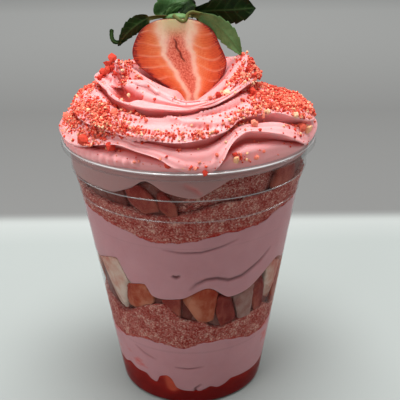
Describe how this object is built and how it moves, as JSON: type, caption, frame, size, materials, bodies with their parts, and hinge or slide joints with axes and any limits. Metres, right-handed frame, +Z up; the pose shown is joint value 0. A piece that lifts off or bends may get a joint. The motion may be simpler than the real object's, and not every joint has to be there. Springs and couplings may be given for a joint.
{
  "type": "cheesecake cup",
  "caption": "Clear tapered cup of layered pink cream, crumble, diced strawberries and sauce, topped by a cream swirl with crumbs and half a strawberry with leaves.",
  "frame": {"origin": "centre of the cup's foot, on the surface that the cup stands on", "axes": "+Z up along the cup's axis; -Y is the front, which the cut face of the half strawberry looks to; +X is the right seen from the front"},
  "size_m": [0.0993, 0.099, 0.1581],
  "materials": {
    "clear_plastic": "clear thin moulded plastic, glossy",
    "strawberry_sauce": "dark red, wet and glossy",
    "cream": "smooth pink cream with a soft sheen",
    "cream_with_crumbs": "smooth pink cream with rough red and yellow crumbs",
    "crumble": "rough crumbs, rose with pale and red grains",
    "diced_strawberry": "moist cut fruit, red skin and paler flesh",
    "strawberry_flesh": "moist cut face, pale core and veins, dark red skin",
    "leaf": "dark green leaf with a waxy sheen"
  },
  "bodies": {
    "root": {"cup": "clear_plastic", "sauce": "strawberry_sauce", "cream_lower": "cream", "crumble_lower": "crumble", "cream_middle": "cream", "crumble_upper": "crumble", "cream_top": "cream_with_crumbs", "strawberry_half": "strawberry_flesh", "strawberry_leaves": "leaf", "strawberry_lower_1": "diced_strawberry", "strawberry_lower_2": "diced_strawberry", "strawberry_lower_3": "diced_strawberry", "strawberry_lower_4": "diced_strawberry", "strawberry_lower_5": "diced_strawberry", "strawberry_lower_6": "diced_strawberry", "strawberry_lower_7": "diced_strawberry", "strawberry_lower_8": "diced_strawberry", "strawberry_lower_9": "diced_strawberry", "strawberry_lower_10": "diced_strawberry", "strawberry_lower_11": "diced_strawberry", "strawberry_lower_12": "diced_strawberry", "strawberry_lower_13": "diced_strawberry", "strawberry_lower_14": "diced_strawberry", "strawberry_lower_15": "diced_strawberry", "strawberry_lower_16": "diced_strawberry", "strawberry_lower_17": "diced_strawberry", "strawberry_upper_1": "diced_strawberry", "strawberry_upper_2": "diced_strawberry", "strawberry_upper_3": "diced_strawberry", "strawberry_upper_4": "diced_strawberry", "strawberry_upper_5": "diced_strawberry"}
  },
  "joints": []
}
